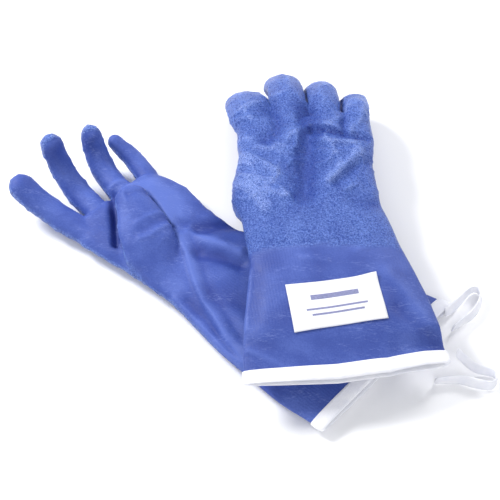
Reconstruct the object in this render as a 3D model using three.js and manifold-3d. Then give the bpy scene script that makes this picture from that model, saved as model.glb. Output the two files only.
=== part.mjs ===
// A pair of insulated gauntlet gloves for cryogenic work, lying as they were put down.
// The left glove lies palm up with its fingers curling; the right glove lies across its
// gauntlet, back of the hand up. Every glove is an assembly of layers and finger sleeves.
// Millimetres. +X along the pair's longest side, +Y towards the right glove's fingertips, +Z up.
import * as THREE from 'three';
import { mergeVertices } from 'three/addons/utils/BufferGeometryUtils.js';
import Module from 'manifold-3d';

const wasm = await Module();
wasm.setup();

// Driving sizes
const GAP = 0.35;             // clearance between neighbouring layers
const SHELL = 1.8;            // coated outer shell
const INSULATION = 2.4;       // quilted insulation
const LINER = 0.9;            // inner knit liner
const COAT = 0.6;             // rough over-dip on the back of the hand
const BINDING = 1.2;          // tape folded over the hem
const BINDING_WIDTH = 14;     // how far the tape reaches up the gauntlet
const HEM_STOP = 16;          // the hem keeps one section over this length
const TAPE_WIDTH = 12;        // hanging loop of the same tape
const TAPE_THICK = 1.1;
const AROUND = 16;            // points around a gauntlet section
const FINGER_AROUND = 8;      // points around a finger section
const BAR_SIDES = 12;         // sides of the round bar a knuckle turns on
const STEPS = 9;              // sections along a hand

// Depth of each layer's outer and inner face below the outside of the shell
const SHELL_IN = SHELL;
const WOOL_OUT = SHELL_IN + GAP;
const WOOL_IN = WOOL_OUT + INSULATION;
const LINER_OUT = WOOL_IN + GAP;
const LINER_IN = LINER_OUT + LINER;
const ROOMY = 40;             // extra length that lets a cutting solid pass right through

const radians = (degrees) => degrees * Math.PI / 180;
const mix = (a, b, t) => a + (b - a) * t;
const ease = (t) => {
  const c = Math.min(1, Math.max(0, t));
  return c * c * (3 - 2 * c);
};

// ---------- closed solids ----------

function solidOf(points, triangles) {
  let volume = 0;
  for (const [a, b, c] of triangles) {
    volume += points[a].dot(new THREE.Vector3().crossVectors(points[b], points[c]));
  }
  const outward = volume > 0 ? triangles : triangles.map(([a, b, c]) => [a, c, b]);
  const positions = [];
  for (const p of points) positions.push(p.x, p.y, p.z);
  return new wasm.Manifold(new wasm.Mesh({
    numProp: 3,
    vertProperties: new Float32Array(positions),
    triVerts: new Uint32Array(outward.flat()),
  }));
}

// Skin a row of equal rings and close both ends with a fan.
function loft(rings) {
  const count = rings[0].length;
  const points = rings.flat();
  const triangles = [];
  for (let r = 0; r + 1 < rings.length; r += 1) {
    for (let k = 0; k < count; k += 1) {
      const a = r * count + k;
      const b = r * count + (k + 1) % count;
      triangles.push([a, b, a + count], [b, b + count, a + count]);
    }
  }
  const last = (rings.length - 1) * count;
  const first = points.length;
  points.push(middleOf(rings[0]), middleOf(rings[rings.length - 1]));
  for (let k = 0; k < count; k += 1) {
    const next = (k + 1) % count;
    triangles.push([first, next, k], [first + 1, last + k, last + next]);
  }
  return solidOf(points, triangles);
}

function middleOf(ring) {
  const sum = new THREE.Vector3();
  for (const p of ring) sum.add(p);
  return sum.divideScalar(ring.length);
}

// Cutting a socket can leave a loose crumb behind; only the piece itself is kept.
function largestOf(solid) {
  return solid.decompose().reduce((best, piece) => (piece.volume() > best.volume() ? piece : best));
}

function meshOf(name, solid, material) {
  const made = largestOf(solid).getMesh();
  const geometry = new THREE.BufferGeometry();
  geometry.setAttribute('position', new THREE.BufferAttribute(new Float32Array(made.vertProperties), 3));
  geometry.setIndex(new THREE.BufferAttribute(new Uint32Array(made.triVerts), 1));
  const clean = mergeVertices(geometry, 1e-4);
  clean.computeVertexNormals();
  const mesh = new THREE.Mesh(clean, material);
  mesh.name = name;
  return mesh;
}

// ---------- the flattened hand and gauntlet ----------

// A station is one section: v along the glove, u its middle, half width, half height,
// z its middle height, slant of the section, and floor the lowest the outside may be.
function stationAt(glove, v) {
  const list = glove.stations;
  let i = 0;
  while (i + 2 < list.length && v > list[i + 1].v) i += 1;
  const a = list[i];
  const b = list[i + 1];
  const t = Math.min(1, Math.max(0, (v - a.v) / (b.v - a.v)));
  const s = {};
  for (const key of Object.keys(a)) s[key] = mix(a[key], b[key], t);
  s.v = v;
  return s;
}

// The gauntlet's free corner hangs down past whatever lies under it, most at the hem.
function droop(glove, u, v) {
  const span = (glove.crotch - glove.hem) / STEPS;
  const past = Math.max(0, v - glove.hem - HEM_STOP);
  const nearHem = Math.max(0, 1 - past / (span - HEM_STOP));
  return glove.droop * nearHem * ease((u - glove.droopFrom) / glove.droopOver);
}

// One ring around the glove, "depth" inside the outer face (negative is outside it).
function handRing(glove, v, depth) {
  const s = stationAt(glove, v);
  const ring = [];
  for (let k = 0; k < AROUND; k += 1) {
    const angle = 2 * Math.PI * k / AROUND;
    const u = s.u + (s.half - depth) * Math.cos(angle);
    const lift = (s.tall - depth) * Math.sin(angle);
    const z = Math.max(s.z + lift, s.floor + depth) - droop(glove, u, v);
    ring.push(new THREE.Vector3(u, v + s.slant * (u - s.u), z));
  }
  return ring;
}

// Evenly spread places along the glove.
function stops(from, to, steps) {
  return Array.from({ length: steps + 1 }, (_, i) => mix(from, to, i / steps));
}

// Every layer of a hand has its sections at the same places, so that they nest.
function handPlaces(glove) {
  const [hem, ...rest] = stops(glove.hem, glove.crotch, STEPS).slice(0, -1);
  return [hem, hem + HEM_STOP, ...rest];
}

// A flattened tube through the given places along the glove.
function handSolid(glove, depth, places) {
  return loft(places.map((v) => handRing(glove, v, depth)));
}

// ---------- finger sleeves ----------

// Directions at a share t of a finger's length: along it, across it and up out of it.
function fingerFrame(finger, t) {
  const splay = radians(mix(finger.splay[0], finger.splay[1], t));
  const lift = radians(mix(finger.lift[0], finger.lift[1], t));
  const along = new THREE.Vector3(
    Math.sin(splay) * Math.cos(lift),
    Math.cos(splay) * Math.cos(lift),
    Math.sin(lift),
  );
  const across = new THREE.Vector3(Math.cos(splay), -Math.sin(splay), 0);
  const up = new THREE.Vector3().crossVectors(across, along);
  return { along, across, up };
}

function fingerPoint(finger, distance) {
  const p = new THREE.Vector3(...finger.hinge);
  if (distance < 0) return p.addScaledVector(fingerFrame(finger, 0).along, distance);
  const steps = 24;
  for (let i = 0; i < steps; i += 1) {
    const t = distance * (i + 0.5) / steps / finger.length;
    p.addScaledVector(fingerFrame(finger, t).along, distance / steps);
  }
  return p;
}

function fingerRing(finger, distance, halfWide, halfThick) {
  const frame = fingerFrame(finger, Math.max(0, distance / finger.length));
  const centre = fingerPoint(finger, distance);
  const ring = [];
  for (let k = 0; k < FINGER_AROUND; k += 1) {
    const angle = 2 * Math.PI * (k + 0.5) / FINGER_AROUND;
    const p = centre.clone();
    p.addScaledVector(frame.across, halfWide * Math.cos(angle));
    p.addScaledVector(frame.up, halfThick * Math.sin(angle));
    ring.push(p);
  }
  return ring;
}

// The whole finger from behind its knuckle to its rounded tip, "depth" inside its outside.
function fingerSolid(finger, depth, back) {
  const rings = [];
  const round = finger.tip[1] - depth;
  const straight = finger.length - depth - round;
  const sizeAt = (distance) => {
    const t = Math.max(0, distance / finger.length);
    return [
      mix(finger.base[0], finger.tip[0], ease(t)) - depth,
      mix(finger.base[1], finger.tip[1], ease(t)) - depth,
    ];
  };
  for (const distance of [-back, 0, straight * 0.35, straight * 0.7, straight]) {
    rings.push(fingerRing(finger, distance, ...sizeAt(distance)));
  }
  for (const turn of [46, 78]) {
    const distance = straight + round * Math.sin(radians(turn));
    const [wide, thick] = sizeAt(distance);
    const shrink = Math.cos(radians(turn));
    rings.push(fingerRing(finger, distance, wide * shrink, thick * shrink));
  }
  return loft(rings);
}

// A round bar through the knuckle, along its hinge.
function knuckleBar(finger, radius, halfLong) {
  const frame = fingerFrame(finger, 0);
  const hinge = new THREE.Vector3(...finger.hinge);
  const sides = BAR_SIDES;
  const rings = [-halfLong, halfLong].map((offset) => {
    const ring = [];
    for (let k = 0; k < sides; k += 1) {
      const angle = 2 * Math.PI * k / sides;
      const p = hinge.clone().addScaledVector(frame.across, offset);
      p.addScaledVector(frame.along, radius * Math.cos(angle));
      p.addScaledVector(frame.up, radius * Math.sin(angle));
      ring.push(p);
    }
    return ring;
  });
  return loft(rings);
}

// A block that covers everything past the knuckle's hinge line.
function beyondKnuckle(finger, halfLong) {
  const frame = fingerFrame(finger, 0);
  const hinge = new THREE.Vector3(...finger.hinge);
  const reach = finger.length + ROOMY;
  const rings = [0, reach].map((offset) => [[-1, -1], [1, -1], [1, 1], [-1, 1]].map(([a, b]) => {
    const p = hinge.clone().addScaledVector(frame.along, offset);
    p.addScaledVector(frame.across, a * halfLong);
    return p.addScaledVector(frame.up, b * reach);
  }));
  return loft(rings);
}

// Hollow sleeve whose root is rounded about the hinge so that it turns in its socket.
function fingerSleeve(finger, outerDepth, innerDepth) {
  const radius = finger.base[1];
  const outer = fingerSolid(finger, outerDepth, radius);
  const inner = fingerSolid(finger, innerDepth, radius + ROOMY / 2);
  const keep = knuckleBar(finger, radius, 2 * ROOMY).add(beyondKnuckle(finger, 2 * ROOMY));
  return outer.subtract(inner).intersect(keep);
}

// ---------- hand layers with a short socket for every finger ----------

function socketSolid(finger, depth, past) {
  const [wide, thick] = finger.base;
  return loft([
    fingerRing(finger, -finger.root, wide * finger.neck - depth, thick - depth),
    fingerRing(finger, 0, wide - depth, thick - depth),
    fingerRing(finger, past, wide - depth, thick - depth),
  ]);
}

function handLayer(glove, outerDepth, innerDepth) {
  const places = handPlaces(glove);
  const through = [glove.hem - ROOMY, ...places, glove.crotch - innerDepth];
  let outer = handSolid(glove, outerDepth, [...places, glove.crotch - outerDepth]);
  let inner = handSolid(glove, innerDepth, through);
  for (const finger of Object.values(glove.fingers)) {
    outer = outer.add(socketSolid(finger, outerDepth, 1));
    inner = inner.add(socketSolid(finger, innerDepth, ROOMY / 2));
  }
  let layer = outer.subtract(inner);
  for (const finger of Object.values(glove.fingers)) {
    const halfLong = finger.base[0] + 0.5;
    const room = (finger.base[1] + GAP) / Math.cos(Math.PI / BAR_SIDES);
    layer = layer.subtract(knuckleBar(finger, room, halfLong));
  }
  return layer;
}

// The insulation stops at the knuckles: a bag with a hole for every finger.
function insulationLayer(glove) {
  const places = handPlaces(glove);
  const through = [glove.hem - ROOMY, ...places, glove.crotch - WOOL_IN];
  const bag = handSolid(glove, WOOL_OUT, [...places, glove.crotch - WOOL_OUT]);
  let hollow = handSolid(glove, WOOL_IN, through);
  for (const finger of Object.values(glove.fingers)) {
    hollow = hollow.add(socketSolid(finger, SHELL_IN, ROOMY / 2));
  }
  return bag.subtract(hollow);
}

// A plain sleeve between two depths and two places along the glove.
function band(glove, outerDepth, innerDepth, places) {
  const outer = handSolid(glove, outerDepth, places);
  const through = [places[0] - ROOMY, ...places, places[places.length - 1] + ROOMY];
  return outer.subtract(handSolid(glove, innerDepth, through));
}

function hemBinding(glove) {
  const from = glove.hem - BINDING - GAP;
  const to = glove.hem + BINDING_WIDTH;
  const cloth = band(glove, -GAP - BINDING, LINER_IN + GAP + BINDING, [from, to]);
  const slot = band(glove, -GAP, LINER_IN + GAP, [glove.hem - GAP, to + 1]);
  return cloth.subtract(slot);
}

function hemStitching(glove) {
  const outside = -GAP - BINDING - GAP;
  const at = glove.hem + BINDING_WIDTH - 3;
  return band(glove, outside - 0.5, outside, [at, at + 1.2]);
}

// The rough over-dip clings to the back of the hand only.
function gripCoat(glove) {
  const places = handPlaces(glove).filter((v) => v > glove.coatFrom && v < glove.coatTo);
  const skin = band(glove, -GAP - COAT, -GAP, places);
  const size = 4 * ROOMY;
  const low = glove.coatUp ? glove.coatZ : glove.coatZ - size;
  const rings = [low, low + size].map((z) => [[-1, 0], [1, 0], [1, 1], [-1, 1]].map(
    ([a, b]) => new THREE.Vector3(a * size, b * 3 * size, z),
  ));
  return skin.intersect(loft(rings));
}

// ---------- label and hanging loops ----------

function topOf(glove, u, v) {
  const s = stationAt(glove, v);
  const share = Math.min(0.99, Math.abs(u - s.u) / s.half);
  return s.z + s.tall * Math.sqrt(1 - share * share) - droop(glove, u, v);
}

function wovenLabel(glove) {
  const { u, v, wide, deep, turn, thick, off } = glove.label;
  const across = 8;
  const rings = [];
  for (let i = 0; i <= across; i += 1) {
    const x = mix(-wide / 2, wide / 2, i / across);
    const ring = [];
    for (const [share, lift] of [[0, 0], [0.5, 0], [1, 0], [1, 1], [0.5, 1], [0, 1]]) {
      const y = mix(-deep / 2, deep / 2, share);
      const du = x * Math.cos(turn) - y * Math.sin(turn);
      const dv = x * Math.sin(turn) + y * Math.cos(turn);
      const z = topOf(glove, u + du, v + dv) + off + lift * thick;
      ring.push(new THREE.Vector3(u + du, v + dv, z));
    }
    rings.push(ring);
  }
  return loft(rings);
}

// A flat tape standing on its edge along a smooth route.
function hangingLoop(route) {
  const curve = new THREE.CatmullRomCurve3(route.map((p) => new THREE.Vector3(...p)));
  const steps = 26;
  const rings = [];
  for (let i = 0; i <= steps; i += 1) {
    const p = curve.getPointAt(i / steps);
    const along = curve.getTangentAt(i / steps);
    const side = new THREE.Vector3(-along.y, along.x, 0).normalize();
    rings.push([[-1, -1], [1, -1], [1, 1], [-1, 1]].map(([a, b]) => {
      const q = p.clone().addScaledVector(side, a * TAPE_THICK / 2);
      q.z += b * TAPE_WIDTH / 2;
      return q;
    }));
  }
  return loft(rings);
}

// ---------- the two gloves ----------

const station = (v, u, half, z, tall, slant, floor) => ({ v, u, half, z, tall, slant, floor });

const finger = (hinge, base, tip, length, splay, lift, root, neck = 1) => (
  { hinge, base, tip, length, splay, lift, root, neck }
);

const LEFT = {
  turn: 54,
  place: [122, -132],
  hem: 0,
  crotch: 300,
  droop: 0,
  droopFrom: 0,
  droopOver: 90,
  stations: [
    station(-10, -4, 88, 13.2, 11, -0.13, 2.6),
    station(34, -6, 84, 13.2, 11, -0.13, 2.6),
    station(60, -9, 78, 11.2, 12.8, -0.1, 0),
    station(104, -12, 69.5, 11.2, 12.8, -0.06, 0),
    station(132, -14, 63, 12.4, 12, -0.02, 1.3),
    station(195, -12, 50, 14, 13, 0, 1.3),
    station(230, -10, 50, 14, 13, 0, 1.3),
    station(268, -6, 55, 15, 14, -0.1, 1.3),
    station(290, -7, 54, 16, 13, -0.2, 1.3),
    station(304, -7, 50, 16, 12.5, -0.2, 1.3),
  ],
  coatFrom: 125,
  coatTo: 270,
  coatZ: 11,
  coatUp: false,
  fingers: {
    index: finger([-49, 320, 16], [12.5, 11], [12, 10], 76, [-6, -1], [4, 38], 28),
    middle: finger([-20, 329, 16], [13.5, 11], [11, 10], 82, [11, 14], [3, 90], 36),
    ring: finger([13, 327, 16], [13.5, 11], [10, 9.5], 66, [14, 38], [4, 92], 38),
    little: finger([41, 303, 16], [10.5, 10], [8.5, 8], 52, [24, -34], [8, 30], 28),
    thumb: finger([-31, 245, 37], [25, 9], [18, 8.5], 60, [38, 38], [25, -6], 40, 0.5),
  },
};

const RIGHT = {
  turn: 8.2,
  place: [86, -166],
  hem: 5,
  crotch: 283,
  droop: 13,
  droopFrom: 20,
  droopOver: 80,
  stations: [
    station(-10, 0, 93, 41, 12, 0, 0),
    station(36, 0, 88, 41.5, 12.5, 0, 0),
    station(70, 1, 83, 43, 14, 0, 0),
    station(100, 1, 76, 45, 15, 0, 0),
    station(130, 1, 69, 45, 15, 0, 0),
    station(175, -2, 64, 45, 15, 0, 0),
    station(215, -1, 64, 46, 15, 0, 0),
    station(252, 4.5, 65, 47, 15, 0, 0),
    station(288, 6, 64, 46, 12.5, -0.1, 0),
  ],
  coatFrom: 125,
  coatTo: 258,
  coatZ: 44,
  coatUp: true,
  label: { u: -1, v: 71, wide: 82, deep: 50, turn: radians(1.5), thick: 0.6, off: 0.6 },
  fingers: {
    index: finger([-41, 301, 45], [17, 11], [16.5, 10], 61, [-10, -14], [-2, -78], 26),
    middle: finger([-4, 313, 46], [17.5, 11], [16, 10], 72, [1, 4], [-3, -74], 34),
    ring: finger([31.5, 303, 45], [15.8, 11], [14, 10], 62, [6, 8], [-2, -78], 30),
    little: finger([59.5, 286, 46.5], [11.8, 9.5], [12, 9], 54, [6, 5], [-1, -82], 24),
    thumb: finger([-54, 205, 21], [17, 8], [15, 7.5], 60, [-10, 26], [-32, 14], 42, 0.8),
  },
};

const LOOPS = {
  left: [
    [177, -79, 14], [184, -72, 8.5], [193, -62, 6.6], [202, -52, 6.6], [209, -49, 6.6], [213, -54, 6.6],
    [211, -65, 6.6], [204, -76, 6.6], [194, -84, 6.6], [184, -92, 6.6],
  ],
  right: [
    [182, -128, 26], [190, -130, 17], [200, -134, 9], [209, -136, 6.6], [217, -139, 6.6], [219, -145, 6.6],
    [213, -151, 6.6], [201, -149, 6.6], [188, -145, 6.6], [176, -145, 6.6], [164, -146, 6.6],
  ],
};

const paint = (name, colour, roughness) => new THREE.MeshStandardMaterial({ name, color: colour, roughness });
const SMOOTH = paint('smooth_nitrile', 0x4d5fc4, 0.45);
const ROUGH = paint('rough_nitrile', 0x6079dc, 0.75);
const WOOL = paint('insulation_felt', 0xdcdce4, 0.95);
const KNIT = paint('liner_knit', 0xc9cfe6, 0.95);
const TAPE = paint('cotton_tape', 0xf4f4f8, 0.9);
const THREAD = paint('white_thread', 0xffffff, 0.8);
const LABEL = paint('woven_label', 0xf6f6f8, 0.85);

const pair = new THREE.Group();
pair.name = 'cryogenic_gloves';

function addGlove(side, glove) {
  const stand = new THREE.Matrix4().makeRotationZ(radians(glove.turn));
  stand.setPosition(glove.place[0], glove.place[1], 0);
  const add = (name, solid, material) => {
    const mesh = meshOf(`${side}_${name}`, solid, material);
    mesh.geometry.applyMatrix4(stand);
    pair.add(mesh);
  };
  add('shell', handLayer(glove, 0, SHELL_IN), SMOOTH);
  add('insulation', insulationLayer(glove), WOOL);
  add('liner', handLayer(glove, LINER_OUT, LINER_IN), KNIT);
  add('grip_coat', gripCoat(glove), ROUGH);
  add('hem_binding', hemBinding(glove), TAPE);
  add('hem_stitching', hemStitching(glove), THREAD);
  const skin = glove.coatUp ? ROUGH : SMOOTH;
  for (const [name, sleeve] of Object.entries(glove.fingers)) {
    const part = name === 'thumb' ? 'thumb' : `${name}_finger`;
    add(`${part}_shell`, fingerSleeve(sleeve, 0, SHELL_IN), skin);
    add(`${part}_liner`, fingerSleeve(sleeve, SHELL_IN + GAP, SHELL_IN + GAP + LINER), KNIT);
  }
  if (glove.label) add('label', wovenLabel(glove), LABEL);
  pair.add(meshOf(`${side}_hanging_loop`, hangingLoop(LOOPS[side]), TAPE));
}

addGlove('left', LEFT);
addGlove('right', RIGHT);

// Put the origin under the middle of the pair; the free loops do not count.
const extent = new THREE.Box3();
for (const mesh of pair.children) {
  if (!mesh.name.endsWith('hanging_loop')) extent.union(new THREE.Box3().setFromObject(mesh));
}
const middle = extent.getCenter(new THREE.Vector3());
for (const mesh of pair.children) mesh.geometry.translate(-middle.x, -middle.y, -extent.min.z);

export default pair;
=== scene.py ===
"""A pair of insulated gauntlet gloves for cryogenic work, lying one across the other.

Every length in the tables below is in millimetres, in the glove's own layout: u runs across the
glove, v from its hem to its fingertips and z up. place() turns that into the shared frame.
"""
import math
import bmesh
import bpy
import numpy as np
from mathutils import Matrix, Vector, noise
from mathutils.bvhtree import BVHTree


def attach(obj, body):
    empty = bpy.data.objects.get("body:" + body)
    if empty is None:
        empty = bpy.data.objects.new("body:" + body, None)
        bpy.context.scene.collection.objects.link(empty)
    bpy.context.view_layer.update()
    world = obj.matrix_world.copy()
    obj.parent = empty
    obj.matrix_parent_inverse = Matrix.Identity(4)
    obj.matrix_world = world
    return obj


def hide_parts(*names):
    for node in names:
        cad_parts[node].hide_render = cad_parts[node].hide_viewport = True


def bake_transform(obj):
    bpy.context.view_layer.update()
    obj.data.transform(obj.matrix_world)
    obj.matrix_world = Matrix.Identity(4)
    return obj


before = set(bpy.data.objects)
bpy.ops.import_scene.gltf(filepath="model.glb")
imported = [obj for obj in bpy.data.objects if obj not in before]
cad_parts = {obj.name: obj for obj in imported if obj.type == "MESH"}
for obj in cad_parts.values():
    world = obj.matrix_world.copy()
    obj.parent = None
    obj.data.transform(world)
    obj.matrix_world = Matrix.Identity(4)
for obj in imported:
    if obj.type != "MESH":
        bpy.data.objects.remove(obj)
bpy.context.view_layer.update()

MM = 0.001
ORIGIN = (23.187, 0.099)      # from the layout's middle to the frame's origin
VOXEL = 1.4                   # mesh size of the moulded skin
AROUND = 96                   # points around a gauntlet section
FINGER_AROUND = 28
FLATTEN = 0.78                # below 1 squares a section's corners
BINDING_WIDTH = 12
BINDING_THICK = 1.3
WALL = 4.8                    # skin, insulation and liner together
HEM_WALL = 2.2                # the same layers pressed flat by the binding
TAPE_WIDTH = 12
TAPE_THICK = 1.1
LINING_DEPTH = 150            # how far up the sleeve the lining is made
LOOSE = 1.6                   # past this share of its own size, a raised thumb moves nothing
FAR = 1e9                     # further than any point
SOFT_FLOOR = 3                # the skin flattens over this height where it rests on the floor
HEM_SLIDE = 0.7               # how far a side of the mouth moves up the glove as it sinks by 1
CREASES_FROM = 165            # below this height up a glove the taut gauntlet hardly creases
HAND_END = (24, 44, 60, 74, 84)          # angles, in degrees, of the rings that round the palm off
FINGER_END = (20, 38, 54, 68, 79, 86)    # likewise for a fingertip

LENS = 98.5
VIEW_ANGLE = 55               # degrees above the floor
VIEW_DISTANCE = 1.3           # metres


# ---------- small tools ----------

def ease(t):
    t = np.clip(t, 0.0, 1.0)
    return t * t * (3 - 2 * t)


def mix(a, b, t):
    return a + (b - a) * t


def unit(vector):
    return vector / np.linalg.norm(vector)


def turned(points, pivot, axis, angles):
    """Points turned about an axis through pivot, each by its own angle."""
    axis = unit(np.asarray(axis, float))
    arm = points - pivot
    cosine = np.cos(angles)[:, None]
    sine = np.sin(angles)[:, None]
    along = (arm @ axis)[:, None] * axis
    return pivot + arm * cosine + np.cross(axis, arm) * sine + along * (1 - cosine)


def make_object(name, points, faces, material=None):
    mesh = bpy.data.meshes.new(name)
    mesh.from_pydata(np.asarray(points, float).tolist(), [], faces)
    mesh.polygons.foreach_set("use_smooth", [True] * len(mesh.polygons))
    mesh.update()
    obj = bpy.data.objects.new(name, mesh)
    bpy.context.scene.collection.objects.link(obj)
    if material:
        mesh.materials.append(material)
    return obj


def lofted(rings, caps=True):
    """Skin over a row of equal closed rings: the points and the faces."""
    count = len(rings[0])
    last = (len(rings) - 1) * count
    faces = []
    for r in range(len(rings) - 1):
        for k in range(count):
            a = r * count + k
            b = r * count + (k + 1) % count
            faces.append((a, b, b + count, a + count))
    if caps:
        faces.append(tuple(range(count))[::-1])
        faces.append(tuple(range(last, last + count)))
    return np.concatenate(rings), faces


def joined(parts):
    """Several (points, faces) pairs as one."""
    points = []
    faces = []
    total = 0
    for part_points, part_faces in parts:
        points.append(part_points)
        faces += [tuple(i + total for i in face) for face in part_faces]
        total += len(part_points)
    return np.concatenate(points), faces


def noise_at(points, size, offset=0.0):
    """Smooth noise from about -1 to 1, with features of the given size."""
    scaled = points / size + offset
    return np.array([noise.noise(Vector(p)) for p in scaled])


def creased_noise(points, size, offset=0.0):
    """Noise with sharp ridges, as crumpled sheet has: 0 in the flats to 1 on a ridge."""
    ridge = 1 - np.abs(noise_at(points, size, offset)) * 2.2
    return np.clip(ridge, 0, 1) ** 3


# ---------- the gloves' layout ----------

def finger(hinge, base, tip, length, splay, lift, root, neck=1.0, spread=0.0, raised=0.0):
    """spread and raised, in degrees, hold a finger off its neighbours while the skin is moulded."""
    return {
        "hinge": np.array(hinge, float), "base": base, "tip": tip, "length": length,
        "splay": splay, "lift": lift, "root": root, "neck": neck,
        "spread": spread, "raised": raised,
    }


# A station: v, middle u, half width, middle z, half height, slant of the section, floor.
LEFT = {
    "side": "left",
    # painted light: the second value paints this glove's smooth side lighter than the other glove's
    "finish": (0.24, 1.06),
    "turn": 54,
    "place": (122, -132),
    "hem": -4,
    "crotch": 300,
    "droop": (0, 0, 90),
    "mouth": {"top": 24, "low": 2.6, "drop": 9, "rise": 0, "reach": 70, "gape": 0},
    "hem_curve": [(-90, 0), (90, 0)],
    "coat_up": False,
    "coat_line": [(-90, 128), (90, 128)],
    "root_edge": [(-54, 258), (-53, 240), (-47, 222), (-34, 204)],
    "stations": [
        (-14, -4, 88.6, 13.2, 11, -0.13, 2.6),
        (34, -6, 84, 13.2, 11, -0.13, 2.6),
        (60, -9, 78, 12, 12, -0.1, 0.6),
        (104, -12, 69.5, 12, 12, -0.06, 0.6),
        (132, -14, 63, 12.4, 12, -0.02, 1.3),
        (195, -12, 50, 14, 13, 0, 1.3),
        (230, -10, 50, 14, 13, 0, 1.3),
        (268, -6, 55, 15, 14, -0.1, 1.3),
        (290, -7, 54, 16, 13, -0.2, 1.3),
        (304, -7, 50, 16, 12.5, -0.2, 1.3),
    ],
    "fingers": {
        "index": finger([-49, 320, 16], [12.5, 11], [12, 10], 76, [-6, -1], [4, 38], 28),
        "middle": finger([-20, 329, 16], [12, 10.5], [10.4, 9.6], 79, [11, 14], [3, 90], 36),
        "ring": finger([13, 327, 16], [11.6, 10.5], [9.9, 9.4], 61, [16, 38], [4, 92], 38),
        "little": finger([39.5, 305, 16], [9.6, 8], [7.6, 6.6], 52, [20, -10], [8, 34], 28),
        "thumb": finger([-31, 245, 33], [26, 9], [14.5, 9], 61, [35, 31], [15, -4], 52, 0.95,
                        raised=12),
    },
}

RIGHT = {
    "side": "right",
    "finish": (0.19, 1.0),
    "turn": 8.2,
    "place": (86, -166),
    "hem": 5,
    "crotch": 283,
    "droop": (13, 20, 80),
    "mouth": {"top": 53, "low": 29, "drop": 11, "rise": 4.5, "reach": 62, "gape": 0.45},
    "hem_curve": [(-92, 0), (-50, -4), (-10, -8), (35, -7), (70, 2), (92, 5)],
    "coat_up": True,
    "coat_line": [(-69, 138), (-9, 131), (54, 123)],
    "stations": [
        (-14, 0, 93.4, 41, 12, 0, 0),
        (36, 0, 88, 41.5, 12.5, 0, 0),
        (70, 1, 83, 43, 14, 0, 0),
        (100, 1, 76, 45, 15, 0, 0),
        (130, 1, 69, 45, 15, 0, 0),
        (178, -3.5, 65.5, 45, 15, 0, 0),
        (202, -6, 69, 45, 15, 0, 0),
        (224, -3, 66.5, 46, 15, 0, 0),
        (240, 2, 65, 46.5, 15, 0, 0),
        (252, 4.5, 65, 47, 15, 0, 0),
        (288, 6, 64, 46, 12.5, -0.1, 0),
    ],
    "fingers": {
        "index": finger([-41, 301, 45], [22, 12], [18, 11], 61, [-7, -3], [-2, -78], 26,
                        spread=-9),
        "middle": finger([-4, 313, 46], [17.5, 12], [18, 11], 72, [1, 3], [-3, -74], 34,
                         spread=-2),
        "ring": finger([30.5, 303, 45], [15.6, 12], [16.5, 11], 62, [5, 3], [-2, -78], 30,
                       spread=6),
        "little": finger([59.5, 286, 46.5], [12, 10.5], [14, 10], 54, [6, 4], [-1, -82], 24,
                         spread=17),
        "thumb": finger([-54, 205, 21], [17, 8], [15, 7.5], 60, [-10, 26], [-32, 14], 42, 0.8),
    },
}

LOOPS = {
    "left": [
        (177, -79, 14), (184, -72, 8.5), (193, -62, 6.6), (202, -52, 6.6), (209, -49, 6.6),
        (213, -54, 6.6), (211, -65, 6.6), (204, -76, 6.6), (194, -84, 6.6), (184, -92, 6.6),
    ],
    "right": [
        (182, -128, 26), (190, -130, 17), (200, -134, 9), (209, -136, 6.6), (217, -139, 6.6),
        (219, -145, 6.6), (213, -151, 6.6), (201, -149, 6.6), (188, -145, 6.6), (176, -145, 6.6),
        (164, -146, 6.6),
    ],
}


def section(glove, v):
    table = np.array(glove["stations"], float)
    return [np.interp(v, table[:, 0], table[:, k]) for k in range(1, 7)]


def droop(glove, u, v):
    """The gauntlet's free corner hangs down past what lies under it, most at the hem."""
    deep, start, over = glove["droop"]
    near_hem = np.clip(1 - (v - glove["hem"] - 16) / 16, 0, 1)
    return deep * near_hem * ease((u - start) / over)


def hand_ring(glove, v, depth=0.0, count=AROUND):
    """One section of the flattened sleeve, depth inside its outer face."""
    middle, half, z, tall, slant, floor = section(glove, v)
    angle = np.linspace(0, 2 * math.pi, count, endpoint=False)
    across = np.sign(np.cos(angle)) * np.abs(np.cos(angle)) ** FLATTEN
    upward = np.sign(np.sin(angle)) * np.abs(np.sin(angle)) ** FLATTEN
    u = middle + (half - depth) * across
    height = np.maximum(z + (tall - depth) * upward, floor + depth)
    return np.stack([u, v + slant * (u - middle), height - droop(glove, u, v)], axis=1)


def mouth_shaped(glove, points):
    """The two sides of the sleeve close towards each other near the hem, and the hem waves.

    A side that sinks also moves up the glove, so that the hem keeps its line.
    """
    mouth = glove["mouth"]
    u, v, z = points.T
    near_hem = ease(1 - (v - glove["hem"]) / mouth["reach"])
    share = near_hem * (1 - mouth["gape"] * ease((u - 40) / 40))
    curve = np.array(glove["hem_curve"], float)
    wave = near_hem * np.interp(u, curve[:, 0], curve[:, 1])
    height = (z + droop(glove, u, v) - mouth["low"]) / (mouth["top"] - mouth["low"])
    sink = share * mouth["drop"]
    change = mix(share * mouth["rise"], -sink, np.clip(height, 0, 1))
    turn = math.radians(glove["turn"])
    shift = HEM_SLIDE * sink
    along = shift * math.cos(turn) + wave
    return points + np.stack([shift * math.sin(turn), along, change], axis=1)


def rested(points):
    """What would lie below the floor flattens out on it."""
    low = SOFT_FLOOR * np.exp((np.minimum(points[:, 2], SOFT_FLOOR) - SOFT_FLOOR) / SOFT_FLOOR)
    result = points.copy()
    result[:, 2] = np.where(points[:, 2] < SOFT_FLOOR, low, points[:, 2])
    return result


def place(glove, points):
    """From the glove's layout to the shared frame, in metres."""
    turn = math.radians(glove["turn"])
    u, v, z = np.asarray(points, float).T
    x = u * math.cos(turn) - v * math.sin(turn) + glove["place"][0] + ORIGIN[0]
    y = u * math.sin(turn) + v * math.cos(turn) + glove["place"][1] + ORIGIN[1]
    return np.stack([x, y, z], axis=1) * MM


# ---------- fingers ----------

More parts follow.
